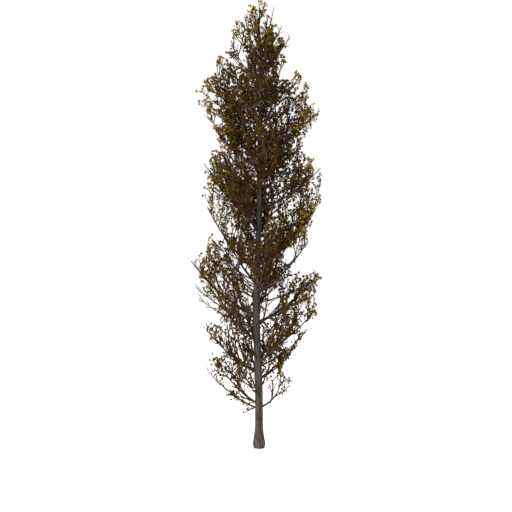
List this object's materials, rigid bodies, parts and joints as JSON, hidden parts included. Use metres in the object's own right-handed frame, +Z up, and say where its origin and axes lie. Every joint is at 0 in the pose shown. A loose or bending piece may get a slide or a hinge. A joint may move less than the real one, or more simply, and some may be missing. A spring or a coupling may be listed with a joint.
{
  "type": "lombardy poplar tree",
  "caption": "Tall narrow poplar in thin autumn leaf: a straight tapering trunk with a flared foot, upswept boughs, and masses of twigs and leaves round them.",
  "frame": {"origin": "middle of the flat cut at the foot of the trunk, at ground level", "axes": "+Z up along the trunk, +X to the right and +Y away from the viewer at the front"},
  "size_m": [5.9883, 4.547, 19.94],
  "materials": {
    "bark": "rough grey-brown bark with shallow upright ridges",
    "foliage": "dull olive, golden brown and rust autumn leaves on grey-brown twigs"
  },
  "bodies": {
    "root": {"trunk": "bark", "bough_back_1": "bark", "bough_back_2": "bark", "bough_back_left_3": "bark", "bough_front_2": "bark", "bough_front_left_1": "bark", "bough_front_right_1": "bark", "bough_left_1": "bark", "bough_left_2": "bark", "bough_left_3": "bark", "bough_low_back": "bark", "bough_low_front_left": "bark", "bough_low_left": "bark", "bough_low_right": "bark", "bough_lowest_right": "bark", "bough_right_1": "bark", "bough_right_2": "bark", "bough_right_3": "bark", "bough_right_4": "bark", "foliage_back_1": "foliage", "foliage_back_2": "foliage", "foliage_back_4": "foliage", "foliage_back_7": "foliage", "foliage_back_left_3": "foliage", "foliage_back_left_6": "foliage", "foliage_back_left_8": "foliage", "foliage_back_right_5": "foliage", "foliage_front_2": "foliage", "foliage_front_5": "foliage", "foliage_front_7": "foliage", "foliage_front_8": "foliage", "foliage_front_left_1": "foliage", "foliage_front_left_4": "foliage", "foliage_front_right_1": "foliage", "foliage_left_1": "foliage", "foliage_left_2": "foliage", "foliage_left_3": "foliage", "foliage_left_5": "foliage", "foliage_left_6": "foliage", "foliage_left_7": "foliage", "foliage_left_8": "foliage", "foliage_low_back": "foliage", "foliage_low_front_left": "foliage", "foliage_low_left": "foliage", "foliage_low_right": "foliage", "foliage_lowest_right": "foliage", "foliage_right_1": "foliage", "foliage_right_2": "foliage", "foliage_right_3": "foliage", "foliage_right_4": "foliage", "foliage_right_5": "foliage", "foliage_right_6": "foliage", "foliage_right_7": "foliage", "foliage_right_8": "foliage", "foliage_top": "foliage"}
  },
  "joints": []
}
